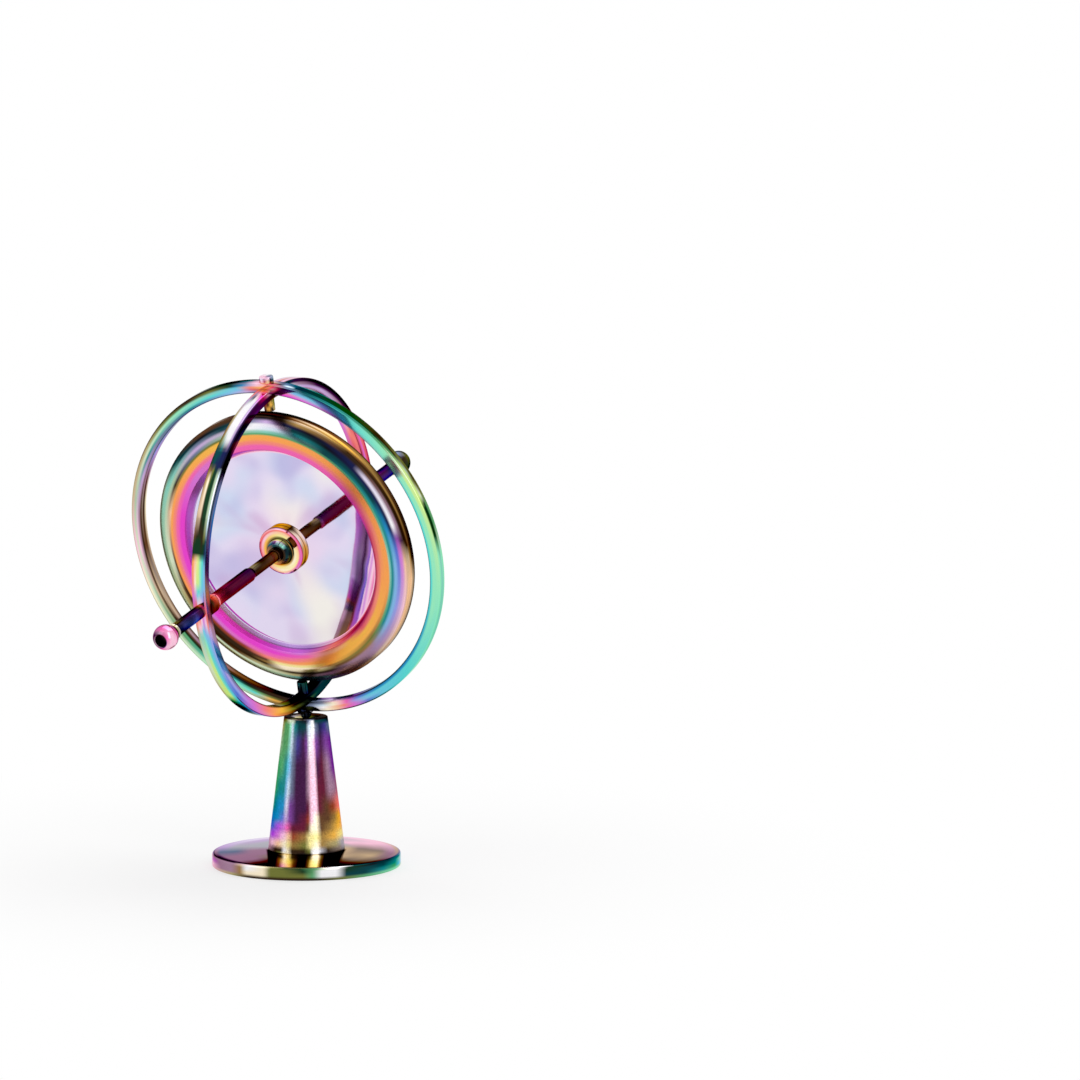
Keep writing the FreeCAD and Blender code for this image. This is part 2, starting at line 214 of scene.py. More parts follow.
def section_runs(corners, steps=6, arc_steps=40):
    """Runs of (point, normal) along a closed outline in (radius, height), walked with
    the solid on its left. A corner is (r, z), (r, z, rounding) or
    (r, z, 0, (centre r, centre z)), whose leaving edge bulges about that centre."""
    count = len(corners)
    points = [np.array(c[:2], float) for c in corners]
    leave = list(points)
    enter = list(points)
    rounds = [None] * count
    for i, corner in enumerate(corners):
        radius = corner[2] if len(corner) > 2 else 0
        if not radius:
            continue
        u = unit(points[i] - points[i - 1])
        w = unit(points[(i + 1) % count] - points[i])
        turn = math.atan2(u[0] * w[1] - u[1] * w[0], float(u @ w))
        back = radius * math.tan(abs(turn) / 2)
        enter[i] = points[i] - u * back
        leave[i] = points[i] + w * back
        sense = 1 if turn > 0 else -1
        centre = enter[i] - sense * right_of(u) * radius
        rounds[i] = arc_run(enter[i], leave[i], centre, sense, steps)
    runs = []
    for i, corner in enumerate(corners):
        if rounds[i]:
            runs.append(rounds[i])
        start, end = leave[i], enter[(i + 1) % count]
        if np.linalg.norm(end - start) < TINY:
            continue
        if len(corner) > 3:
            runs.append(arc_run(start, end, np.array(corner[3]), 1, arc_steps))
        elif max(start[0], end[0]) >= TINY:
            normal = right_of(unit(end - start))
            runs.append([(start, normal), (end, normal)])
    return runs


def arc_centre(start, end, radius):
    """Centre of the arc that bulges to the right on its way from start to end."""
    start, end = np.array(start), np.array(end)
    chord = end - start
    length = np.linalg.norm(chord)
    depth = math.sqrt(radius ** 2 - length ** 2 / 4)
    centre = (start + end) / 2 - right_of(chord / length) * depth
    return tuple(centre)


def turned(node, corners, own, body, slot, material, around=64, look="polished", hidden=(),
           **options):
    """A piece turned about its own Z, with exact normals. It stands for a CAD node, and
    for hidden ones inside it."""
    verts, faces, normals, rows = [], [], [], {}
    angles = [2 * math.pi * j / around for j in range(around)]

    def row_of(point):
        radius, height = (round(float(value), 5) for value in point)
        if (radius, height) not in rows:
            first = len(verts)
            if radius <= 0:
                verts.append((0, 0, height))
                rows[radius, height] = [first] * around
            else:
                verts.extend((radius * math.cos(a), radius * math.sin(a), height) for a in angles)
                rows[radius, height] = list(range(first, first + around))
        return rows[radius, height]

    for run in section_runs(corners, **options):
        for (p0, n0), (p1, n1) in zip(run, run[1:]):
            low, high = row_of(p0), row_of(p1)
            if low is high:
                continue
            for j in range(around):
                k = (j + 1) % around
                face = []
                for row, at, normal in ((low, j, n0), (low, k, n0), (high, k, n1), (high, j, n1)):
                    if row[at] in face:
                        continue
                    face.append(row[at])
                    out, up = normal
                    normals.append((out * math.cos(angles[at]), out * math.sin(angles[at]), up))
                faces.append(face)
    name = f"{node}_{look}"
    mesh = bpy.data.meshes.new(name)
    mesh.from_pydata([own.spot(v) for v in verts], [], faces)
    mesh.polygons.foreach_set("use_smooth", [True] * len(faces))
    mesh.update()
    mesh.normals_split_custom_set([own.way(n) for n in normals])
    piece = bpy.data.objects.new(name, mesh)
    bpy.context.collection.objects.link(piece)
    mesh.materials.append(material)
    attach(piece, body)
    nodes = [node, *hidden]
    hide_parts(*nodes)
    return piece


# ---------- node helpers


def srgb(red, green, blue):
    def linear(v):
        v /= 255
        return v / 12.92 if v <= 0.04045 else ((v + 0.055) / 1.055) ** 2.4
    return (linear(red), linear(green), linear(blue), 1.0)


PALETTE = """
white 250 249 252 cream 255 240 208 butter 246 232 156 peach 248 200 160 tan 206 180 150 gold 246 186 80
orange 252 164 88 salmon 246 138 124 coral 226 96 110 pink 242 104 178 rose 250 200 222 magenta 232 70 204
orchid 212 122 212 violet 182 84 222 crimson 178 44 96 purple 132 74 160 indigo 70 62 140 plum 70 32 72
maroon 104 32 56 rust 150 66 44 brown 98 66 44 umber 54 38 24 bronze 158 124 68 khaki 184 172 122
olive 116 120 58 lime 206 236 142 pale 212 226 196 sage 172 196 164 mint 150 232 190 seafoam 138 206 188
turquoise 92 216 210 aqua 106 202 226 teal 38 140 142 petrol 16 66 72 forest 24 58 36 leaf 92 158 104
green 96 172 120 sky 132 186 230 azure 40 140 196 blue 92 118 208 navy 28 34 78 periwinkle 152 162 232
lilac 198 168 216 lavender 226 216 240 ice 208 226 242 slate 112 124 152 mauve 168 132 156 taupe 150 134 124
grey 184 182 192 black 20 18 26
"""
WORDS = PALETTE.split()
TINT = {WORDS[i]: srgb(*map(int, WORDS[i + 1:i + 4])) for i in range(0, len(WORDS), 4)}


def stops_of(words):
    """Pairs of (place, tint) from words that name each tint after its place or places."""
    stops, places = [], []
    for word in words:
        if word in TINT:
            stops += [(place, TINT[word]) for place in places]
            places = []
        else:
            places.append(float(word))
    return stops


def rows_of(table):
    """Rows of (place, stops) from text in which a word with a colon starts a row."""
    rows = []
    for word in table.split():
        if word.endswith(":"):
            rows.append((float(word[:-1]), []))
        else:
            rows[-1][1].append(word)
    return [(place, stops_of(words)) for place, words in rows]


class Nodes:
    """Short calls that add nodes to a tree. A value is a socket, a number or a tuple."""

    def __init__(self, tree):
        self.tree = tree

    def link(self, source, target):
        if isinstance(source, (int, float, tuple)):
            target.default_value = source
        else:
            self.tree.links.new(source, target)

    def make(self, kind, **settings):
        node = self.tree.nodes.new("ShaderNode" + kind)
        for key, value in settings.items():
            setattr(node, key, value)
        return node

    def fed(self, kind, values, output=0, **settings):
        """A new node's output, with values at its inputs by number or name."""
        node = self.make(kind, **settings)
        for key, value in values.items():
            self.link(value, node.inputs[key])
        return node.outputs[output]

    def math(self, operation, *values):
        return self.fed("Math", dict(enumerate(values)), operation=operation)

    def times(self, a, b):
        return self.math("MULTIPLY", a, b)

    def joined(self, x, y, z):
        return self.fed("CombineXYZ", {0: x, 1: y, 2: z})

    def length(self, vector):
        return self.fed("VectorMath", {0: vector}, "Value", operation="LENGTH")

    def step(self, value, low, high, start=0.0, end=1.0):
        """Runs smoothly from start to end while the value goes from low to high."""
        return self.fed("MapRange", {0: value, 1: low, 2: high, 3: start, 4: end},
                        interpolation_type="SMOOTHSTEP")

    def looked_at(self):
        """1 where the camera, a mirror or glass looks, 0 where light is gathered."""
        path = self.make("LightPath").outputs
        direct = self.math("MAXIMUM", path["Is Camera Ray"], path["Is Glossy Ray"])
        return self.math("MAXIMUM", direct, path["Is Transmission Ray"])


class Graph(Nodes):
    """A coat's nodes. Its coordinates are the piece's own, in millimetres: x, y and z
    along the piece's axes, the radius, and the angle about its Z as a share of a turn."""

    def __init__(self, name, own):
        self.material = bpy.data.materials.new(name)
        self.material.use_nodes = True
        super().__init__(self.material.node_tree)
        self.shader = self.tree.nodes["Principled BSDF"].inputs
        model = self.make("TexCoord").outputs["Object"]
        self.x, self.y, self.z = (self.along(model, axis, own.origin)
                                  for axis in (own.x, own.y, own.z))
        self.where = self.joined(self.x, self.y, self.z)
        self.radius = self.length(self.joined(self.x, self.y, 0.0))
        self.share = self.turn_share(self.y, self.x)

    def along(self, model, axis, origin):
        dot = self.fed("VectorMath", {0: model, 1: tuple(axis)}, "Value",
                       operation="DOT_PRODUCT")
        return self.math("MULTIPLY_ADD", dot, 1 / MM, -origin.dot(axis))

    def turn_share(self, y, x):
        return self.math("MULTIPLY_ADD", self.math("ARCTAN2", y, x), 0.5 / math.pi, 0.5)

    def ramp(self, value, stops):
        """Colours between stops of (place from 0 to 1, colour)."""
        node = self.make("ValToRGB")
        elements = node.color_ramp.elements
        while len(elements) < len(stops):
            elements.new(0.5)
        for element, (at, colour) in zip(elements, stops):
            element.position = at
            element.color = colour
        self.link(value, node.inputs[0])
        return node.outputs[0]

    def stripes(self, value, low, high, text):
        """Colours along a value that runs from low to high."""
        span = high - low
        share = self.math("MULTIPLY_ADD", value, 1 / span, -low / span)
        return self.ramp(share, [((at - low) / span, tint) for at, tint in stops_of(text.split())])

    def mix(self, factor, a, b, blend="MIX"):
        return self.fed("Mix", {0: factor, 6: a, 7: b}, 2, data_type="RGBA",
                        blend_type=blend, clamp_factor=True)

    def around(self, stops):
        """Colours round the clock at stops of (degrees, tint)."""
        (first, after), (last, before) = stops[0], stops[-1]
        blend = (180 - last) / (first + 360 - last)
        seam = tuple(a + (b - a) * blend for a, b in zip(before, after))
        inner = [((degrees + 180) / 360, tint) for degrees, tint in stops]
        return self.ramp(self.share, [(0.0, seam)] + inner + [(1.0, seam)])

    def painted(self, value, table):
        """Colours round the clock, blended along a value by the rows of a table."""
        rows = rows_of(table)
        result = self.around(rows[0][1])
        for (low, _), (high, stops) in zip(rows, rows[1:]):
            result = self.mix(self.step(value, low, high), result, self.around(stops))
        return result

    def noise(self, where, scale, detail, rough=0.5):
        return self.fed("TexNoise", {"Scale": scale, "Detail": detail, "Roughness": rough,
                                     "Vector": where}, "Fac")

    def marks(self, fine, drift, detail=3.0, rough=0.6):
        """Tool marks: noise that changes fast across them and slowly round them."""
        flat = self.math("MAXIMUM", self.radius, 0.01)
        east = self.math("DIVIDE", self.x, flat)
        north = self.math("DIVIDE", self.y, flat)
        place = self.joined(
            self.math("ADD", self.times(self.radius, fine), self.times(north, drift)),
            self.times(self.z, fine), self.times(east, drift))
        return self.noise(place, 1.0, detail, rough)

    def shade(self, colour, value, low, high):
        """Darken or lighten a colour by a value that runs from 0 to 1."""
        greys = self.ramp(value, [(0.3, (low, low, low, 1)), (0.7, (high, high, high, 1))])
        return self.mix(1.0, colour, greys, "MULTIPLY")

    def wander(self, colour, amount=0.03, scale=0.06):
        """The film's thickness wanders a little, so its hue does too."""
        hue = self.math("MULTIPLY_ADD", self.noise(self.where, scale, 2.0), amount,
                        0.5 - amount / 2)
        return self.fed("HueSaturation", {"Hue": hue, "Color": colour})

    def metal(self, colour, rough=0.06, grain=0.015, bump=None):
        """Coated metal: fine polish marks in the roughness, and if asked a bump of
        (height, strength, depth)."""
        self.link(colour, self.shader["Base Color"])
        self.link(self.fed("Gamma", {"Gamma": 0.6, "Color": colour}),
                  self.shader["Specular Tint"])
        self.link(1.0, self.shader["Metallic"])
        marks = self.marks(3.0, 2.0, 4.0, 0.65)
        self.link(self.math("MULTIPLY_ADD", marks, grain, rough), self.shader["Roughness"])
        if bump:
            height, strength, depth = bump
            self.link(self.fed("Bump", {"Strength": strength, "Distance": depth * MM,
                                        "Height": height}), self.shader["Normal"])
        return self.material


# ---------- coatings with painted light
#
# Each table walks along a piece's section. A row gives the place on that walk, and then
# the colours round the clock there, each after the degrees where it stands: the coating's
# hues with painted reflections, highlights and shade.

# The walk round a ring's section goes from 0 at its inner face by 0.25 at its rear or
# left face and 0.5 at its outer face to 0.75 at its front or right face. Both rings'
# colours are painted reflections, highlights and shade over the coating's hues.
EQUATORIAL_INSIDE = """
-175 brown -164 taupe -150 tan -136 mauve -118 brown -103 umber -92 black -84 navy -78 lilac -70 purple
-60 slate -50 teal -20 20 petrol 70 indigo 88 umber 110 taupe 130 slate 148 lilac 160 brown 170 umber
"""
EQUATORIAL = f"""
0: {EQUATORIAL_INSIDE}
0.11: -175 tan -150 brown -118 umber -100 -88 black -80 lilac -70 slate -52 blue 0 teal 90 brown 125 slate
  150 lilac 168 cream
0.25: -150 mint -112 gold -80 pink -50 sky -10 turquoise 40 mint 85 lime 95 peach 130 turquoise
0.385: -150 pale -100 bronze -70 slate -45 0 mint 28 olive 60 umber 76 teal 84 petrol 89 mauve 94 petrol
  100 forest 120 umber 132 brown
0.44: -150 sage -100 bronze -70 slate -48 mint -20 seafoam 4 mint 9 sage 14 20 leaf 24 olive 30 umber
  38 olive 46 umber 56 66 forest 78 petrol 85 slate 88 rose 93 mauve 96 petrol 102 116 forest 128 umber
0.51: -150 khaki -100 bronze -76 plum -60 slate -48 mint -20 2 seafoam 7 leaf 10 21 forest 24 pale 29 olive
  33 sage 39 47 umber 62 forest 78 petrol 84 slate 88 peach 92 rose 96 teal 102 116 forest 128 umber
0.585: -150 khaki -100 bronze -76 plum -60 teal -48 -20 4 mint 10 20 forest 24 34 lime 40 leaf 48 62 forest
  76 79 petrol 81 ice 84 petrol 88 coral 93 rose 97 slate 102 forest 114 132 umber 150 khaki
0.625: -175 khaki -150 olive -120 sage -106 olive -98 umber -90 black -84 khaki -78 mauve -73 plum -66 navy
  -58 teal -46 turquoise -10 mint 22 lime 36 pale 44 leaf 64 teal 76 petrol 82 slate 88 coral 93 rose
  97 slate 103 forest 116 136 umber 150 brown 166 khaki
0.665: -175 rose -160 cream -118 mint -108 sage -102 bronze -95 umber -88 black -84 grey -80 cream -76 peach
  -72 pink -68 orchid -63 blue -56 aqua -44 turquoise -10 mint 30 lime 42 mint 60 turquoise 74 teal 81 sky
  88 orange 93 rose 98 azure 103 forest 112 olive 122 umber 136 olive 147 khaki 166 tan
0.73: -175 -160 pale -140 sage -118 mint -108 turquoise -102 gold -96 bronze -90 black -86 slate -82 white
  -77 peach -73 salmon -69 orchid -64 sky -56 aqua -42 turquoise -16 20 40 mint 58 turquoise 70 aqua 79 sky
  84 rose 90 gold 96 salmon 101 aqua 112 seafoam 128 mint 150 pale 168 sage
0.79: -175 rose -160 sage -140 leaf -118 turquoise -108 green -102 olive -96 umber -90 black -86 slate
  -82 ice -77 cream -72 pink -68 periwinkle -62 aqua -40 turquoise -16 10 36 mint 56 turquoise 68 sky
  76 lilac 83 pink 89 bronze 95 coral 100 sky 112 turquoise 130 seafoam 150 teal 164 grey
0.84: -175 mauve -158 tan -140 green -120 teal -112 forest -102 -94 umber -88 black -82 slate -77 cream
  -72 pink -67 blue -58 -36 azure -10 20 turquoise 44 seafoam 60 slate 72 orchid 82 magenta 90 umber 97 lilac
  104 sky 122 teal 140 slate 158 lilac 172 mauve
0.872: -175 umber -158 brown -140 forest -112 black -102 umber -90 black -82 slate -76 rose -71 purple
  -64 navy -50 petrol -20 20 teal 50 slate 72 purple 90 umber 104 slate 122 indigo 140 slate 158 mauve
  172 brown
0.915: -175 brown -158 tan -146 brown -118 -103 umber -96 -90 black -84 slate -79 lavender -73 orchid
  -69 purple -62 slate -50 teal 0 petrol 70 purple 90 umber 112 132 slate 146 periwinkle 156 mauve 168 taupe
1: {EQUATORIAL_INSIDE}
"""

# The axial ring's coating hues with painted reflections, highlights and shade.
AXIAL_INSIDE = """
-172 black -160 petrol -150 turquoise -120 brown -84 salmon -72 coral -66 salmon -56 rose -46 lilac -36 mauve
-24 brown -12 umber -6 teal 4 maroon 24 mauve 50 orchid 72 rose 92 magenta 112 mauve 132 plum 150 bronze
165 olive 174 navy
"""
AXIAL = f"""
0: {AXIAL_INSIDE}
0.12: -172 black -160 umber -120 bronze -80 coral -60 orchid -40 lilac -10 ice 20 mauve 60 rose 90 magenta
  118 rose 140 mauve 160 bronze 176 navy
0.25: -165 turquoise -130 gold -90 mint -40 sky 0 turquoise 40 pink 80 lime 110 sky 130 peach 165 pink
0.345: -165 teal -120 gold -80 turquoise -30 ice 0 rose 14 grey 26 brown 36 petrol 45 brown 58 tan 66 bronze
  70 forest 76 tan 84 orchid 92 mauve 99 taupe 112 sage 126 khaki 134 petrol 146 slate 155 rose 168 umber
0.375: -165 teal -120 gold -80 turquoise -30 ice 0 rose 6 salmon 10 lilac 18 khaki 27 bronze 31 olive
  34 petrol 40 forest 43 bronze 56 tan 64 brown 67 71 forest 73 orange 80 salmon 85 orchid 90 coral 95 salmon
  99 sage 110 pale 126 khaki 130 sage 133 148 petrol 155 orchid 166 umber
0.425: -165 sky -120 gold -80 turquoise -30 ice 0 rose 8 slate 14 26 white 30 sage 34 40 petrol 42 brown
  46 cream 58 tan 64 umber 66 71 forest 72 peach 80 cream 84 lilac 88 coral 93 orange 96 rose 99 seafoam
  112 pale 127 lime 131 leaf 134 150 petrol 156 lilac
0.475: -165 sky -120 pink -30 ice 0 orange 5 rose 8 umber 12 29 white 33 teal 35 petrol 40 navy 42 olive
  50 forest 62 umber 66 71 forest 72 butter 80 lime 84 aqua 88 rose 93 salmon 96 rose 99 seafoam 112 128 lime
  132 leaf 135 149 petrol 154 sky 160 rose
0.525: -165 turquoise -120 pink -80 aqua -30 ice 0 coral 6 rose 9 30 white 34 petrol 40 navy 42 50 58 forest
  64 umber 66 71 forest 72 80 lime 83 turquoise 88 94 rose 97 aqua 103 mint 114 128 lime 133 teal
  136 147 petrol 152 azure 158 orchid
0.58: -165 turquoise -120 gold -80 aqua -30 ice 0 rose 6 pink 10 30 white 34 41 navy 43 54 60 forest 65 umber
  71 forest 73 80 mint 84 sky 88 rose 93 orchid 98 sky 106 turquoise 128 mint 134 teal 138 petrol 146 slate
  151 azure 157 pink 168 gold
0.625: -165 mint -120 gold -80 lilac -30 0 rose 7 magenta 12 30 lilac 35 41 navy 44 58 sage 65 olive
  67 71 forest 73 turquoise 81 aqua 85 periwinkle 89 orchid 94 rose 99 sky 112 130 aqua 138 azure 148 blue
  154 orchid 160 pink 168 gold
0.65: -172 black -160 petrol -120 umber -80 rust -62 coral -54 -20 plum -8 petrol 0 ice 7 crimson 11 plum
  30 navy 41 black 44 ice 48 white 60 ice 66 petrol 71 navy 75 82 sky 88 coral 95 salmon 100 periwinkle
  112 sky 130 blue 146 orchid 158 salmon 170 umber
0.69: -172 -160 petrol -120 umber -80 crimson -62 coral -56 umber -44 -26 black -14 plum -8 petrol 0 rose
  6 crimson 11 30 plum 36 41 black 46 60 petrol 66 slate 72 azure 78 sky 84 periwinkle 88 orchid 92 rust
  97 lilac 112 periwinkle 128 blue 142 orchid 156 orange 170 umber
0.75: -172 petrol -160 forest -120 bronze -80 coral -62 salmon -54 -30 plum -16 mauve -8 ice 0 umber
  8 30 plum 36 41 black 46 58 66 slate 74 blue 82 periwinkle 88 pink 92 coral 98 mauve 112 lilac
  128 periwinkle 140 orchid 150 salmon 160 gold 168 olive
0.815: -174 -160 petrol -120 gold -80 orchid -62 pink -54 coral -46 mauve -34 -20 lilac -12 ice 0 umber
  8 plum 30 purple 36 42 black 46 slate 60 azure 72 blue 82 periwinkle 90 rust 98 112 mauve 122 slate
  138 orchid 150 salmon 160 gold 168 umber 176 black
0.852: -174 black -160 petrol -120 rust -80 crimson -62 coral -54 mauve -38 lilac -24 mauve -12 umber
  0 bronze 10 maroon 30 plum 60 82 slate 92 maroon 104 122 plum 140 rust 152 bronze 164 umber 176 black
0.9: -174 black -164 petrol -150 teal -120 brown -82 coral -68 salmon -58 coral -50 plum -38 umber -24 black
  -12 umber -6 petrol 4 bronze 24 plum 50 mauve 72 orchid 92 crimson 112 mauve 130 plum 150 bronze 162 olive
  172 umber
1: {AXIAL_INSIDE}
"""

# Radius on the flywheel's faces. On its outer cylinder the walk goes on across it. Its bands
# are painted reflections, highlights and shade over the coating's hues.
WHEEL_RIM = """
19.05: -170 -110 lavender -80 lilac -60 -44 20 60 110 rose 150 lavender
19.48: -170 -140 -110 -80 lilac -62 rose -50 salmon -40 coral 10 crimson 40 pink 80 105 rose 125 165 orchid
19.6: -170 violet -155 purple -140 -110 mauve -80 purple -62 coral -50 -40 crimson 10 maroon 40 crimson
  80 pink 105 130 160 orchid
19.75: -170 violet -150 -110 magenta -80 orchid -62 salmon -50 coral -40 10 crimson 40 80 pink
  105 130 160 orchid
20.15: -170 -140 -110 magenta -84 orchid -66 salmon -54 coral -42 14 crimson 30 magenta 60 90 115 pink
  140 orchid 165 magenta
20.75: -170 -140 -100 magenta -80 pink -64 peach -52 gold -40 coral -20 salmon 16 coral 40 80 110 pink
  140 orchid 165 magenta
21.5: -170 pink -140 orchid -100 pink -80 salmon -62 -40 gold -10 orange 20 60 96 120 salmon 140 165 pink
22.2: -170 -150 salmon -138 -116 rust -104 salmon -80 orange -60 gold -10 20 60 96 orange 120 gold 140 orange
  165 salmon
22.8: -170 -152 orange -138 -116 umber -104 brown -98 -78 butter -70 gold -40 bronze -10 40 80 orange
  120 gold 150 orange
23.2: -170 brown -154 -136 -112 umber -102 bronze -96 -76 cream -70 bronze -40 olive -30 leaf 0 seafoam
  30 green 70 leaf 96 green 118 140 olive 152 bronze 166 peach
23.6: -170 pale -156 brown -142 -112 -104 umber -94 cream -76 khaki -66 brown -44 bronze -30 0 30 teal
  60 petrol 90 seafoam 108 sage 130 slate 152 umber 166 tan
24.2: -170 pale -153 khaki -142 brown -130 umber -118 brown -108 khaki -92 -70 umber -58 -44 mauve -30 0 sky
  16 azure 30 60 petrol 76 teal 84 ice 98 white 106 grey 130 lilac 150 sage
24.8: -170 sage -150 khaki -130 -104 pale -90 khaki -72 -50 mauve -20 periwinkle 6 blue 16 40 navy 60 black
  78 petrol 84 lavender 96 white 103 slate 112 petrol 130 slate 150 seafoam
25.3: -170 sage -150 pale -120 khaki -100 sage -84 teal -66 brown -50 mauve -20 lilac 4 orchid 12 purple
  17 white 40 lavender 46 navy 70 black 82 navy 90 lilac 98 slate 104 petrol 124 black 140 petrol 156 seafoam
25.9: -170 -150 sage -120 khaki -100 pale -86 petrol -76 slate -60 brown -44 tan -20 rose 0 peach 10 plum
  17 mauve 40 brown 46 53 umber 58 brown 76 bronze 82 umber 92 black 104 umber 124 brown 145 petrol 158 sage
26.2: -170 khaki -150 -120 olive -100 khaki -86 teal -70 -50 brown -30 -8 peach 2 tan 9 40 52 umber 60 bronze
  74 tan 82 94 umber 116 brown 140 umber 158 sage
26.8: -170 tan -120 khaki -60 brown -40 tan -8 peach 2 tan 7 28 umber 46 brown 64 bronze 78 brown 90 umber
  110 brown 128 150 taupe
27.25: -170 tan -120 khaki -60 brown -40 tan -8 peach 2 bronze 7 brown 28 44 bronze 56 gold 70 tan
  82 90 110 brown 128 tan 150 taupe
27.8: -170 tan -120 pale -60 bronze -40 taupe -8 tan 1 6 20 umber 34 brown 44 bronze 60 brown 78 90 umber
  110 brown 128 150 tan
28.6: -170 khaki -120 olive -60 -30 -8 0 umber 6 black 30 60 umber 84 forest 100 128 umber 150 olive
"""

# Height above the table on the cone. Its stripes are painted reflections and highlights over
# the coating's hues, and its top face and cup are painted dark as shade.
COLUMN = """
3: -160 taupe -124 umber -112 olive -104 -97 cream -90 umber -72 black -62 umber -57 -51 white -46 umber
  -30 black -4 umber 30 grey 100 umber 150 tan
3.6: -160 rose -124 -110 umber -104 white -98 cream -91 -72 umber -63 olive -58 -50 white -45 grey -34 umber
  -8 taupe 8 grey 40 pale 100 khaki 150 peach
4.7: -160 mauve -134 rose -118 peach -104 cream -98 butter -90 bronze -70 olive -63 butter -52 cream
  -44 bronze -16 khaki 4 grey 60 tan 110 peach 150 rose
6.2: -160 lilac -136 violet -120 orchid -106 rose -98 peach -90 rust -70 bronze -63 -52 butter -43 bronze
  -18 gold 4 butter 60 rose 110 lilac 150 orchid
7.8: -160 -138 blue -120 violet -108 orchid -101 pink -92 -72 maroon -65 brown -60 -52 cream -43 brown
  -25 bronze -4 gold 30 peach 110 sky 150 lilac
9.5: -160 -140 -124 azure -112 blue -105 lilac -98 purple -86 plum -70 maroon -64 rust -59 rose -51 cream
  -44 -28 brown -12 bronze 4 gold 60 pink 110 aqua 150 sky
11.5: -160 seafoam -142 teal -124 -112 azure -105 lavender -99 purple -86 -70 plum -64 maroon -59 -51 rose
  -45 maroon -30 brown -14 rust 4 salmon 60 pink 110 turquoise 150 aqua
15: -163 sage -148 green -126 -114 teal -109 sky -104 ice -98 slate -88 -70 plum -64 mauve -59 -51 rose
  -45 -32 maroon -18 2 mauve 24 crimson 60 violet 110 turquoise 150 mint
19: -163 sage -148 -126 green -114 teal -109 aqua -104 sky -98 slate -88 -70 plum -64 mauve -59 -51 rose
  -45 plum -33 maroon -18 mauve 2 24 purple 60 violet 110 mint 150 lime
23.5: -163 pale -148 sage -128 -116 leaf -109 seafoam -103 ice -97 slate -88 indigo -74 plum -66 purple
  -60 white -51 rose -45 purple -32 plum -16 2 purple 24 indigo 60 periwinkle 110 leaf 150 lime
26.6: -163 cream -148 khaki -128 -116 leaf -110 mint -103 ice -97 teal -86 -68 petrol -61 ice -49 white
  -44 slate -32 navy -14 indigo 2 slate 60 teal 110 leaf 150 khaki
27.6: -163 cream -148 brown -128 olive -112 -102 pale -94 petrol -68 black -61 slate -51 white
  -45 -30 -6 petrol 24 black 110 olive 150 khaki
27.8: -163 grey -146 maroon -116 umber -96 taupe -76 umber -56 slate -42 -6 black 60 umber 120 brown
27.97: -150 umber -120 black -95 olive -80 black -55 umber -40 black 0 umber 60 brown 120 umber
"""

# Radius on the disc's top. At its rim the walk goes on down the edge. Its bands are painted
# reflections and highlights over the coating's hues.
BASE = """
7.5: -175 grey -150 -125 mauve -100 -40 brown -20 20 tan 60 grey 100 taupe 150 grey
10: -175 grey -150 -126 mauve -108 taupe -92 -48 brown -30 tan 20 taupe 60 rose 100 150 grey
13.5: -175 grey -152 slate -134 -114 mauve -100 -44 brown -30 taupe -8 tan 15 taupe 50 rose 100 grey
  150 lilac
16: -175 lilac -155 slate -135 -118 mauve -104 brown -92 -50 umber -38 brown -15 taupe 10 mauve 50 100 rose
  150 lavender
17: -175 lilac -158 mauve -140 -118 plum -98 -52 -44 umber -20 brown 0 mauve 30 tan 60 rose 120 lavender
17.3: -175 lilac -158 plum -146 black -118 plum -108 -96 -88 -66 -56 -46 umber -38 black -20 umber -8 petrol
  10 slate 60 rose 120 lavender
17.42: -175 lavender -158 lilac -146 umber -118 plum -108 rose -96 cream -88 khaki -66 olive -56 -46 white
  -38 -20 -8 petrol 10 slate 60 rose 120 lavender
17.75: -175 lavender -158 rose -146 -118 mauve -112 tan -106 white -95 cream -90 olive -72 forest -62 leaf
  -58 pale -49 white -43 forest -24 black -8 petrol 8 teal 20 ice 60 rose 120 lavender
18.3: -175 grey -158 rose -148 orchid -134 -120 mauve -112 bronze -107 white -95 cream -91 -82 olive
  -70 forest -64 leaf -59 -50 white -44 forest -30 -14 petrol 0 teal 8 seafoam 20 ice 60 sky 120 rose
19.2: -175 grey -158 -148 rose -132 -120 mauve -112 bronze -107 -95 cream -91 -80 -70 olive -64 green
  -59 -50 white -44 -30 petrol -14 teal 0 green 8 aqua 20 ice 60 sky 120 rose
19.8: -175 tan -150 rose -120 khaki -106 -90 -60 umber -46 olive -30 green 0 mint 20 pale 100 khaki
"""

# Height on the foot ball from its centre, with painted reflections over the coating's hues.
FOOT = """
-1: -90 black 0 umber 120 brown
-0.2: -90 slate 0 umber 120 grey
0.4: -120 umber -60 black 40 petrol
1: 0 black 120 petrol
"""

# Distance from the rings' centre along the rivets. Both tables hold painted reflections,
# highlights and shade over the coating's hues.
TOP_RIVET = """
26.9: -150 plum -90 umber -60 brown 0 bronze 90 umber
27.5: -150 maroon -100 brown -70 gold -40 umber 0 khaki 90 brown
28.3: -150 crimson -100 rust -70 umber -40 gold 0 olive 90 brown
29.2: -150 crimson -90 rust -50 bronze 0 olive 90 umber
32.4: -150 salmon -90 orange -40 peach 30 olive 90 umber
32.9: -150 maroon -100 rose -75 crimson -50 peach -20 petrol 60 slate
33.4: -150 rose -100 lavender -80 mauve -50 rose -20 slate 60 ice
33.6: -90 rose 0 slate 90 white
"""

BOTTOM_RIVET = """
26.9: -120 petrol 0 forest 90 petrol
28.2: -120 black 0 petrol 90 black
29.2: -120 black 0 navy 90 black
32.4: -120 umber 0 black 90 slate
32.8: -120 slate -60 umber 0 black 60 grey 90 umber
33.1: -120 black 0 umber 90 black
"""
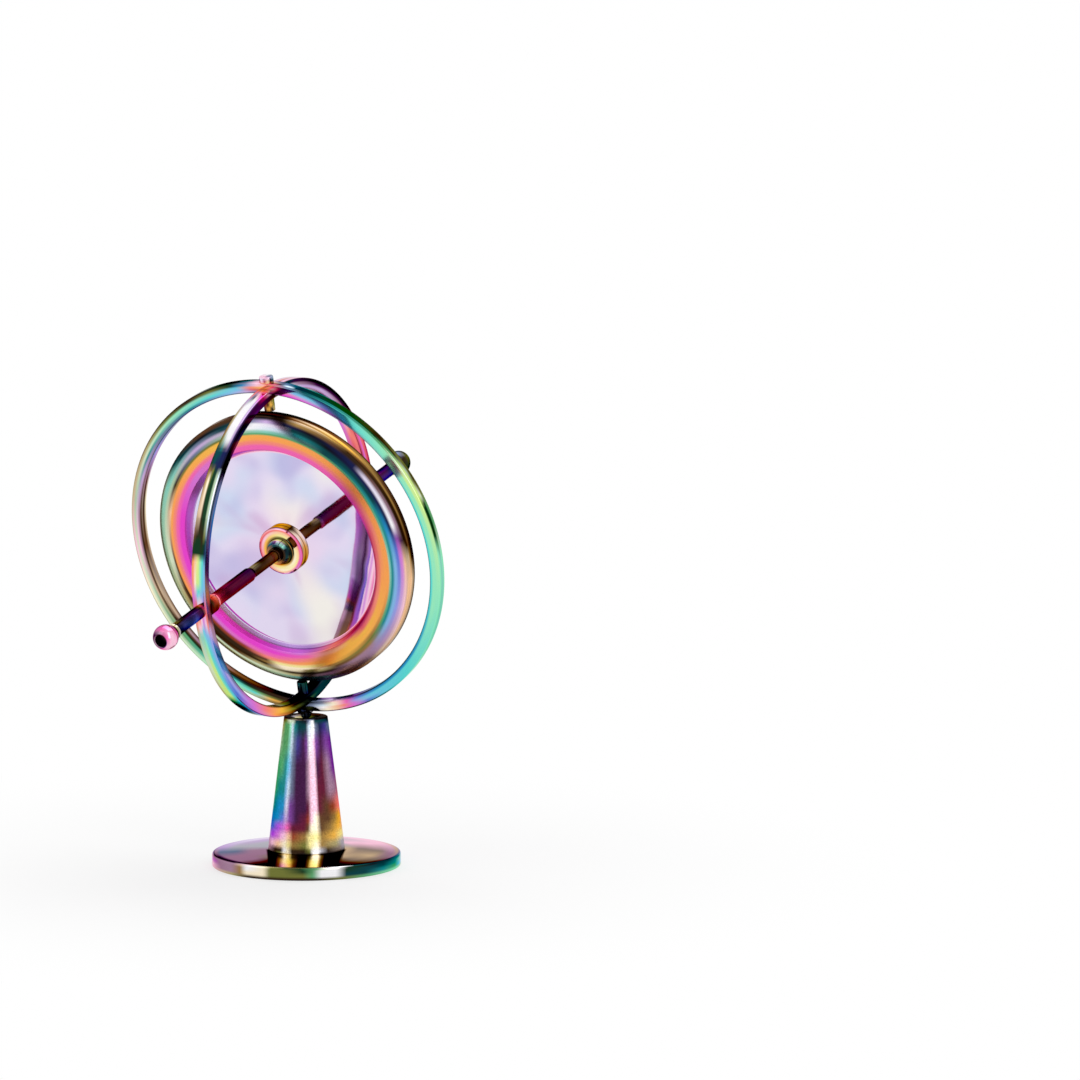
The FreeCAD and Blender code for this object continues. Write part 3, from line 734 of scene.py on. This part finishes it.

# Distance from the centre along the axle, forward of it or, on a rear piece, behind it. These
# tables hold painted reflections, highlights and shade over the coating's hues.
SHAFT = """
-27.9: -90 crimson 90 rust
-24: -100 pink -60 maroon 60 plum 140 maroon
-14: -100 magenta -60 crimson 60 plum 140 maroon
-6: -90 brown 60 umber 140 black
6: -90 gold -50 60 brown 140 umber
9.5: -90 gold -60 bronze -20 brown 60 umber 140 brown
12.6: -100 -40 brown 30 umber 100 khaki 150 brown
13.5: -100 pink -40 crimson 30 90 plum 150 maroon
14.6: -100 magenta -60 crimson 0 maroon 60 100 150 plum
19: -100 coral -60 crimson 0 60 maroon 110 plum 150 maroon
23: -100 pink -60 crimson 0 60 maroon 110 crimson 150 maroon
25.2: -100 crimson -40 coral 30 crimson 80 rust 120 crimson 160 purple
26.1: -100 coral -40 salmon 30 100 coral 160 crimson
26.5: -90 rose 90 salmon
27.9: -90 umber 90 black
"""

BUSH = """
27: -120 tan 0 salmon 100 tan
27.3: -140 peach -80 bronze 0 rust 60 rose 120 tan
28.2: -140 gold -80 rust 0 brown 60 coral 120 bronze
29: -140 rust -80 maroon 0 rust 60 brown 120 rust
30: -120 black 60 umber
"""

POST = """
31.3: -140 salmon -80 coral 0 salmon 60 crimson 120 orange
32: -140 coral -80 rust 0 plum 60 umber 120 bronze
33: -140 purple -90 plum -40 indigo 20 70 plum 120 umber
34.4: -140 mauve -90 plum -40 {patch} 20 indigo 70 120 plum
36.4: -140 purple -90 navy -40 {patch} 20 indigo 70 120 plum
38: -140 mauve -90 plum -40 navy 20 indigo 70 umber 120 taupe
39.4: -140 purple -90 -40 black 20 navy 70 umber 120 khaki
40.3: -140 taupe -90 -40 20 black 120 umber
"""

TIP = """
40.3: -140 cream -60 white 30 grey 120 cream
40.9: -140 tan -60 umber 30 khaki 120 cream
41.2: -140 brown -60 maroon 30 umber 120 tan
41.6: {dark}
42.4: {bright}
44.2: {light}
44.95: {bright}
45.05: {dark}
"""

# Depth below the ball tip's end in its drilled hole: painted shade, darker deeper in.
DIMPLE_SHADE = """
-1.4: -150 black 30 umber
-0.5: -150 plum -60 60 black
-0.05: -150 mauve -60 plum 60 maroon
"""

# Distance from the centre along the axle, less half the radius, with painted highlights and
# reflections over the coating's hues.
HUB = """
-1.55: -150 umber -90 plum -30 umber 30 brown 90 150 umber
-1.25: -150 gold -90 purple -30 bronze 10 gold 40 cream 62 umber 90 150 gold
-0.6: -150 bronze -90 plum -30 gold 10 khaki 30 white 50 cream 66 umber 84 gold 120 bronze
-0.4: -150 crimson -90 purple -30 crimson 60 maroon 120 umber
-0.24: -150 pink -90 orchid -30 pink 30 coral 90 mauve 150 salmon
-0.08: -150 salmon -90 rose -30 orchid 30 pink 90 rose 150 salmon
0.14: -150 coral -90 peach -30 pink 30 90 salmon 150 coral
0.32: -150 salmon -90 cream -30 butter 30 90 peach 150 rose
0.62: -150 gold -90 butter -30 cream 30 90 butter 150 gold
0.84: -150 bronze -90 gold -30 30 bronze 90 olive 150 bronze
0.94: -150 brown -90 bronze -30 umber 30 bronze 90 150 brown
1.15: -150 khaki -90 gold -30 petrol 30 black 90 sage 150 taupe
1.75: -150 khaki -90 gold -40 olive 0 black 40 petrol 90 white 120 sage
2.5: -150 gold -90 orange -30 petrol 30 black 60 seafoam 90 slate 130 teal
2.95: -120 orange -30 30 umber 100 petrol
"""

# What POST and TIP name in braces, at either end of the axle: a painted reflection on the
# post, and painted shade (dark) and highlights (bright, light) on the ball tip.
END_PAINT = {
    "front": {"patch": "blue", "dark": "-150 plum -60 purple 60 maroon 130 plum",
              "bright": "-150 mauve -90 pink -40 rose 30 pink 90 mauve 140 plum",
              "light": "-150 pink -90 -40 30 rose 90 pink 140 mauve"},
    "rear": {"patch": "plum", "dark": "-150 forest -60 umber 60 black 130 olive",
             "bright": "-150 olive -90 slate -40 umber 30 forest 90 black 140 sage",
             "light": "-150 sage -90 umber -40 olive 30 black 90 forest 140 grey"}}

# Stripes across the cone's painted reflection in the disc, by millimetres from its middle.
REFLECTION_PATCH_REACH = (-8.0, 8.0)
REFLECTION_PATCH_STRIPES = """
-7.6 umber -6.4 black -5.2 umber -4.5 bronze -3.7 cream -2.4 butter -1.7 bronze
-1.0 0.3 umber 0.9 bronze 1.5 2.5 cream 3.1 bronze 3.7 umber 5.0 black 7.0 umber
"""

# Stripes of the rim's painted reflection in the web, by millimetres from the centre along
# the direction in which that reflection lies.
REFLECTION_SIDE = 0.957
REFLECTION_DOWN = 0.291
RIM_REFLECTION_REACH = (15.2, 19.2)
RIM_REFLECTION_STRIPES = """
15.4 lavender 15.8 16.6 lilac 17.2 orchid 17.4 rose 17.8 orchid 18.3 rose 18.8 pink
19.1 crimson
"""


def by_height(graph):
    return graph.z


def along_hub(graph):
    return graph.math("SUBTRACT", graph.z, graph.times(graph.radius, 0.5))


def round_section(inner, outer):
    def walk(graph):
        across = graph.math("SUBTRACT", graph.radius, (inner + outer) / 2)
        return graph.turn_share(graph.z, across)
    return walk


def over_edge(edge_radius, top, bottom):
    """The radius, and past edge_radius the way down from top as well."""
    def walk(graph):
        down = graph.math("MAXIMUM", graph.math("SUBTRACT", top, graph.z), 0.0)
        above = graph.math("GREATER_THAN", graph.z, bottom)
        out = graph.math("GREATER_THAN", graph.radius, edge_radius)
        return graph.math("MULTIPLY_ADD", down, graph.times(above, out), graph.radius)
    return walk


def coat_and_painted_light(name, own, table, walk=by_height, rough=0.06, marks=(0.97, 1.03), hue=0.02):
    """Coated metal whose colours follow a table of coating hues with painted reflections,
    highlights and shade, with faint lathe marks over them.
    """
    graph = Graph(name, own)
    colour = graph.wander(graph.painted(walk(graph), table), hue)
    return graph.metal(graph.shade(colour, graph.marks(6.0, 1.5), *marks), rough)


def wheel_coat_and_painted_light():
    """Bands of painted reflections, highlights and shade over the coating's hues round the
    satin rim, and a mirror web with painted pale reflections and a painted reflection of the rim.
    """
    graph = Graph("wheel_coat_painted_light", WHEEL)
    other = graph.joined(graph.y, graph.z, graph.x)
    rays = graph.joined(graph.times(graph.radius, 0.07), graph.times(graph.share, 9.0), 0.0)
    # Each painted reflection in the web is a tint, its amount, and a value with its place for
    # none and for all.
    web_reflections = [
        (srgb(198, 216, 240), 0.75, graph.noise(graph.where, 0.085, 1.0), 0.44, 0.66),
        (srgb(244, 240, 232), 0.95, graph.noise(other, 0.075, 0.5), 0.52, 0.30),
        (srgb(184, 176, 222), 0.70, graph.noise(other, 0.095, 1.0), 0.50, 0.74),
        (srgb(196, 160, 206), 0.55, graph.noise(rays, 1.0, 1.5), 0.50, 0.72),
        (TINT["rose"], 0.22, graph.radius, 13.0, 5.0)]
    web = TINT["lavender"]
    for tint, amount, value, low, high in web_reflections:
        web = graph.mix(graph.times(graph.step(value, low, high), amount), web, tint)
    # A painted reflection of the rim: a band of stripes on the front of the web, measured along glow.
    glow = graph.math("SUBTRACT", graph.times(graph.x, REFLECTION_SIDE),
                      graph.times(graph.y, REFLECTION_DOWN))
    rim_reflection_tints = graph.stripes(glow, *RIM_REFLECTION_REACH, RIM_REFLECTION_STRIPES)
    rim_reflection_mask = graph.times(graph.step(glow, 15.3, 16.0), graph.step(graph.z, 0.0, 0.4))
    web = graph.mix(graph.times(rim_reflection_mask, 0.85), web, rim_reflection_tints)
    walk = over_edge(25.0, LAND_HALF, -LAND_HALF)(graph)
    outside = graph.step(graph.radius, 18.85, 19.1)
    colour = graph.mix(outside, web, graph.painted(walk, WHEEL_RIM))
    brushed = graph.step(graph.radius, 25.2, 26.1)
    marked = graph.shade(colour, graph.marks(7.0, 1.2), 0.72, 1.22)
    colour = graph.wander(graph.mix(brushed, colour, marked), 0.012)
    satin = graph.step(graph.radius, 19.1, 19.3, 0.03, 0.23)
    return graph.metal(colour, satin, 0.02, (graph.noise(graph.where, 0.13, 1.0), 0.08, 0.5))


def base_coat_and_painted_light():
    """The disc's bands, and in front of the cone its painted reflection: dark, with two bright stripes."""
    graph = Graph("base_coat_painted_light", STAND)
    colour = graph.painted(over_edge(17.1, BASE_RIM_HEIGHT, -0.1)(graph), BASE)
    # The cone's painted reflection in the mirror disc: a dark trapezoid with two bright stripes.
    right, up = math.cos(VIEW_AZIMUTH), math.sin(VIEW_AZIMUTH)
    across = graph.math("ADD", graph.times(graph.x, right), graph.times(graph.y, up))
    forward = graph.math("SUBTRACT", graph.times(graph.x, up), graph.times(graph.y, right))
    beyond = graph.math("ADD", graph.math("ABSOLUTE", across), graph.times(forward, 0.077))
    patch = graph.times(graph.step(beyond, 7.7, 7.3), graph.step(forward, 0.0, 2.0))
    patch = graph.times(patch, graph.step(graph.radius, 17.25, 17.0))
    reflected_stripes = graph.stripes(across, *REFLECTION_PATCH_REACH, REFLECTION_PATCH_STRIPES)
    colour = graph.wander(graph.mix(patch, colour, reflected_stripes), 0.02)
    return graph.metal(graph.shade(colour, graph.marks(6.0, 1.5), 0.97, 1.03))


def column_coat_and_painted_light():
    """Satin cone: lengthwise stripes of painted reflections and highlights, whose hue changes
    with height.
    """
    graph = Graph("column_coat_painted_light", STAND)
    colour = graph.wander(graph.painted(graph.z, COLUMN), 0.012, 0.12)
    colour = graph.shade(colour, graph.marks(2.6, 1.2, rough=0.7), 0.92, 1.08)
    colour = graph.shade(colour, graph.noise(graph.where, 3.6, 2.0, 0.7), 0.72, 1.24)
    return graph.metal(colour, 0.32, 0.08, (graph.noise(graph.where, 4.2, 2.0), 0.3, 0.015))


# ---------- pieces


def stand_pieces():
    dome = arc_centre((DOME_START, BASE_RIM_HEIGHT), (DOME_END, BASE_HEIGHT), DOME_RADIUS)
    turned("base_disc", [
        (0, 0), (BASE_RADIUS, 0, 0.3), (BASE_RADIUS, BASE_RIM_HEIGHT, 0.4),
        (DOME_START, BASE_RIM_HEIGHT, 0, dome), (DOME_END, BASE_HEIGHT),
        (STUD_RADIUS, BASE_HEIGHT), (0, BASE_HEIGHT)],
        STAND, "stand", "base_polish", base_coat_and_painted_light(), around=256, hidden=["column_stud"])
    turned("column", [
        (0, BASE_HEIGHT), (CONE_FOOT_RADIUS, BASE_HEIGHT, 0.12),
        (CONE_RIM_RADIUS, CONE_HEIGHT, 0.25), (CUP_RADIUS, CONE_HEIGHT, 0.12),
        (CUP_FLOOR_RADIUS, CUP_FLOOR_HEIGHT, 0.1), (0, CUP_FLOOR_HEIGHT)],
        STAND, "stand", "column_satin", column_coat_and_painted_light(), around=192, look="satin")
    turned("foot_ball", [(0, -FOOT_RADIUS, 0, (0, 0)), (0, FOOT_RADIUS)],
           BALL, "foot", "foot_steel", coat_and_painted_light("foot_coat_painted_light", BALL, FOOT), around=48)


def ring_section(inner, outer, half):
    return [(inner, -half, RING_EDGE), (outer, -half, RING_EDGE), (outer, half, RING_EDGE),
            (inner, half, RING_EDGE)]


def ring_pieces():
    turned("equatorial_ring", ring_section(RING_INNER, RING_OUTER, RING_HALF),
           WHEEL, "frame", "ring_polish",
           coat_and_painted_light("ring_coat_painted_light", WHEEL, EQUATORIAL, round_section(RING_INNER, RING_OUTER)),
           around=360)
    turned("axial_ring", ring_section(AXIAL_INNER, AXIAL_OUTER, AXIAL_HALF),
           BEARING, "frame", "bearing_ring_polish",
           coat_and_painted_light("bearing_ring_coat_painted_light", BEARING, AXIAL, round_section(AXIAL_INNER, AXIAL_OUTER)),
           around=360)
    shank = [(0, SHANK_END), (SHANK_RADIUS, SHANK_END, 0.15), (SHANK_RADIUS, RING_OUTER)]
    turned("top_rivet", shank + [
        (HEAD_RADIUS, RING_OUTER), (HEAD_RADIUS, HEAD_TOP, 0.3), (0, HEAD_TOP)],
        TOP, "frame", "rivet_polish",
        coat_and_painted_light("top_rivet_coat_painted_light", TOP, TOP_RIVET, marks=(0.8, 1.2)))
    turned("bottom_rivet", shank + [
        (COLLAR_RADIUS, RING_OUTER), (COLLAR_RADIUS, COLLAR_TOP, 0.15),
        (SOCKET_RADIUS, COLLAR_TOP), (SOCKET_FLOOR_RADIUS, SOCKET_FLOOR), (0, SOCKET_FLOOR)],
        BOTTOM, "frame", "rivet_polish", coat_and_painted_light("bottom_rivet_coat_painted_light", BOTTOM, BOTTOM_RIVET))


def rotor_pieces():
    front = arc_centre((WHEEL_RADIUS, LAND_HALF), (SHOULDER_RADIUS, RIM_HALF), SHOULDER_ARC)
    back = (front[0], -front[1])
    turned("flywheel", [
        (WHEEL_BORE, -WEB_HALF), (WEB_RADIUS, -WEB_HALF, 0.15), (RIM_INNER, -RIM_HALF, 0.15),
        (SHOULDER_RADIUS, -RIM_HALF, 0, back), (WHEEL_RADIUS, -LAND_HALF),
        (WHEEL_RADIUS, LAND_HALF, 0, front), (SHOULDER_RADIUS, RIM_HALF),
        (RIM_INNER, RIM_HALF, 0.15), (WEB_RADIUS, WEB_HALF, 0.15), (WHEEL_BORE, WEB_HALF)],
        WHEEL, "rotor", "wheel_polish", wheel_coat_and_painted_light(), around=384, arc_steps=16)
    half = [(SEAT_RADIUS, SEAT_HALF), (NECK_RADIUS, SEAT_HALF, 0.05),
            (NECK_RADIUS, NECK_END, 0.3), (JOURNAL_RADIUS, NECK_END + TAPER, 0.3),
            (JOURNAL_RADIUS, AXLE_HALF, 0.3), (POINT_RADIUS, AXLE_HALF),
            (POINT_TIP, POINT_END), (0, POINT_END)]
    mirrored = [(radius, -height, *more) for radius, height, *more in reversed(half)]
    turned("axle", mirrored + half, WHEEL, "rotor", "axle_polish",
           coat_and_painted_light("axle_coat_painted_light", WHEEL, SHAFT, rough=0.09, marks=(0.85, 1.15)))
    for side, own in ENDS.items():
        turned(side + "_hub_flange", [
            (HUB_BORE, WEB_HALF), (HUB_RADIUS, WEB_HALF), (HUB_RADIUS, HUB_EDGE, 0.15),
            (HUB_FACE_RADIUS, HUB_FACE, 0.15), (NOSE_RADIUS, HUB_FACE, 0.12),
            (*NOSE_BEND, 0.5), (NOSE_TIP, NOSE_END, 0.4), (HUB_BORE, NOSE_END)],
            own, "rotor", "hub_gold",
            coat_and_painted_light(side + "_hub_coat_painted_light", own, HUB, along_hub, hue=0.03), around=96)


def painted_dimple_shade(side, own):
    # Painted shade in the drilled hole.
    graph = Graph(side + "_dimple_painted_shade", own)
    depth = graph.math("SUBTRACT", graph.z, TIP_MOUTH)
    return graph.metal(graph.wander(graph.painted(depth, DIMPLE_SHADE)), 0.3)


def bearing_pieces():
    for side, own in ENDS.items():
        turned(side + "_bearing_bush", [
            (0, CUP_END), (CUP_MOUTH, BUSH_FACE, 0.08), (BUSH_RADIUS, BUSH_FACE, 0.25),
            (BUSH_RADIUS, BUSH_SEAT), (SPIGOT_RADIUS, BUSH_SEAT), (SPIGOT_RADIUS, BUSH_END),
            (0, BUSH_END)],
            own, "frame", "bush_polish",
            coat_and_painted_light(side + "_bush_coat_painted_light", own, BUSH, marks=(0.85, 1.15)))
        post = POST.format(**END_PAINT[side])
        turned(side + "_pivot_post", [
            (0, POST_START), (SPIGOT_RADIUS, POST_START), (SPIGOT_RADIUS, POST_SHOULDER),
            (POST_RADIUS, POST_SHOULDER, 0.04), (POST_RADIUS, POST_END, 0.1),
            (THREAD_RADIUS, POST_END), (THREAD_RADIUS, THREAD_END), (0, THREAD_END)],
            own, "frame", "post_polish",
            coat_and_painted_light(side + "_post_coat_painted_light", own, post, rough=0.09, marks=(0.85, 1.15)))
        tip = TIP.format(**END_PAINT[side])
        dimple_floor = TIP_MOUTH - DIMPLE_DEPTH
        piece = turned(side + "_ball_tip", [
            (TIP_BORE, POST_END), (TIP_COLLAR_RADIUS, POST_END, 0.15),
            (TIP_COLLAR_RADIUS, TIP_COLLAR_END, 0.15), (TIP_NECK_RADIUS, TIP_COLLAR_END),
            (TIP_NECK_RADIUS, TIP_NECK_END, 0, (0, TIP_MIDDLE)), (DIMPLE_MOUTH, TIP_MOUTH),
            (DIMPLE_RADIUS, TIP_MOUTH - DIMPLE_CHAMFER), (DIMPLE_RADIUS, dimple_floor),
            (0, dimple_floor), (0, TIP_BORE_END), (TIP_BORE, TIP_BORE_END)],
            own, "frame", "tip_polish",
            coat_and_painted_light(side + "_tip_coat_painted_light", own, tip, rough=0.08, marks=(0.9, 1.1)), around=96)
        piece.data.materials.append(painted_dimple_shade(side, own))
        for face in piece.data.polygons:
            centre = face.center / MM - own.origin
            height = centre.dot(own.z)
            radius = (centre - height * own.z).length
            if radius < DIMPLE_MOUTH - DIMPLE_MARGIN and height > dimple_floor - DIMPLE_MARGIN:
                face.material_index = 1


stand_pieces()
ring_pieces()
rotor_pieces()
bearing_pieces()

# ---------- floor, light and camera


def make_floor():
    """A matt white floor that glows white to the camera, and the more away from the stand."""
    mesh = bpy.data.meshes.new("studio_floor")
    corners = [(x * FLOOR_REACH, y * FLOOR_REACH, 0)
               for x, y in ((-1, -1), (1, -1), (1, 1), (-1, 1))]
    mesh.from_pydata(corners, [], [(0, 1, 2, 3)])
    floor = bpy.data.objects.new("studio_floor", mesh)
    bpy.context.collection.objects.link(floor)
    material = bpy.data.materials.new("studio_floor_white")
    material.use_nodes = True
    material.node_tree.nodes.clear()
    graph = Nodes(material.node_tree)
    matt = graph.fed("BsdfDiffuse", {"Color": (0.9, 0.9, 0.9, 1)})
    glow = graph.fed("Emission", {"Color": (1, 1, 1, 1), "Strength": 1.0})
    away = graph.length(graph.make("NewGeometry").outputs["Position"])
    share = graph.times(graph.looked_at(), graph.step(away, 0.02, 0.12, 0.6, 1.0))
    out = graph.make("OutputMaterial").inputs[0]
    graph.link(graph.fed("MixShader", {0: share, 1: matt, 2: glow}), out)
    mesh.materials.append(material)


def make_world():
    """A white room that lights a little less brightly than it looks."""
    world = bpy.data.worlds.new("studio")
    bpy.context.scene.world = world
    world.use_nodes = True
    graph = Nodes(world.node_tree)
    back = world.node_tree.nodes["Background"].inputs
    graph.link((1, 1, 1, 1), back["Color"])
    strength = graph.math("MULTIPLY_ADD", graph.looked_at(), 1.0 - ROOM_LIGHT, ROOM_LIGHT)
    graph.link(strength, back["Strength"])


def softbox(name, spot, size, power):
    light = bpy.data.lights.new(name, "AREA")
    light.shape = "RECTANGLE"
    light.size, light.size_y = size
    light.energy = power
    lamp = bpy.data.objects.new(name, light)
    bpy.context.collection.objects.link(lamp)
    lamp.location = spot
    lamp.rotation_euler = (LAMP_TARGET - Vector(spot)).to_track_quat("-Z", "Y").to_euler()


def make_lights():
    """Three softboxes. Places and sizes are in metres and powers in watts."""
    softbox("key_softbox", (-0.55, -0.75, 0.85), (0.9, 0.9), 0.7)
    softbox("strip_softbox", (0.75, -0.55, 0.45), (0.3, 1.0), 1.1)
    softbox("top_softbox", (0.1, 0.35, 1.1), (1.2, 0.9), 3.8)


def make_camera():
    """The photo's camera, placed from the middle of the disc's upper edge."""
    right = Vector((math.cos(VIEW_AZIMUTH), math.sin(VIEW_AZIMUTH), 0))
    level = Vector((-math.sin(VIEW_AZIMUTH), math.cos(VIEW_AZIMUTH), 0))
    ahead = level * math.cos(VIEW_PITCH) - Vector((0, 0, math.sin(VIEW_PITCH)))
    down = ahead.cross(right)
    spot = VIEW_AIM + VIEW_RIGHT * right - VIEW_UP * down - VIEW_BACK * ahead
    camera = bpy.data.objects.new("camera", bpy.data.cameras.new("camera"))
    bpy.context.collection.objects.link(camera)
    turn = Matrix((right, -down, -ahead)).transposed().to_4x4()
    camera.matrix_world = Matrix.Translation(spot * MM) @ turn
    camera.data.sensor_width = SENSOR
    camera.data.lens = SENSOR * FOCAL_PIXELS / PHOTO_PIXELS
    camera.data.clip_start = 0.05
    camera.data.clip_end = 20.0
    bpy.context.scene.camera = camera


make_floor()
make_world()
make_lights()
make_camera()
bpy.context.scene.view_settings.view_transform = "Standard"
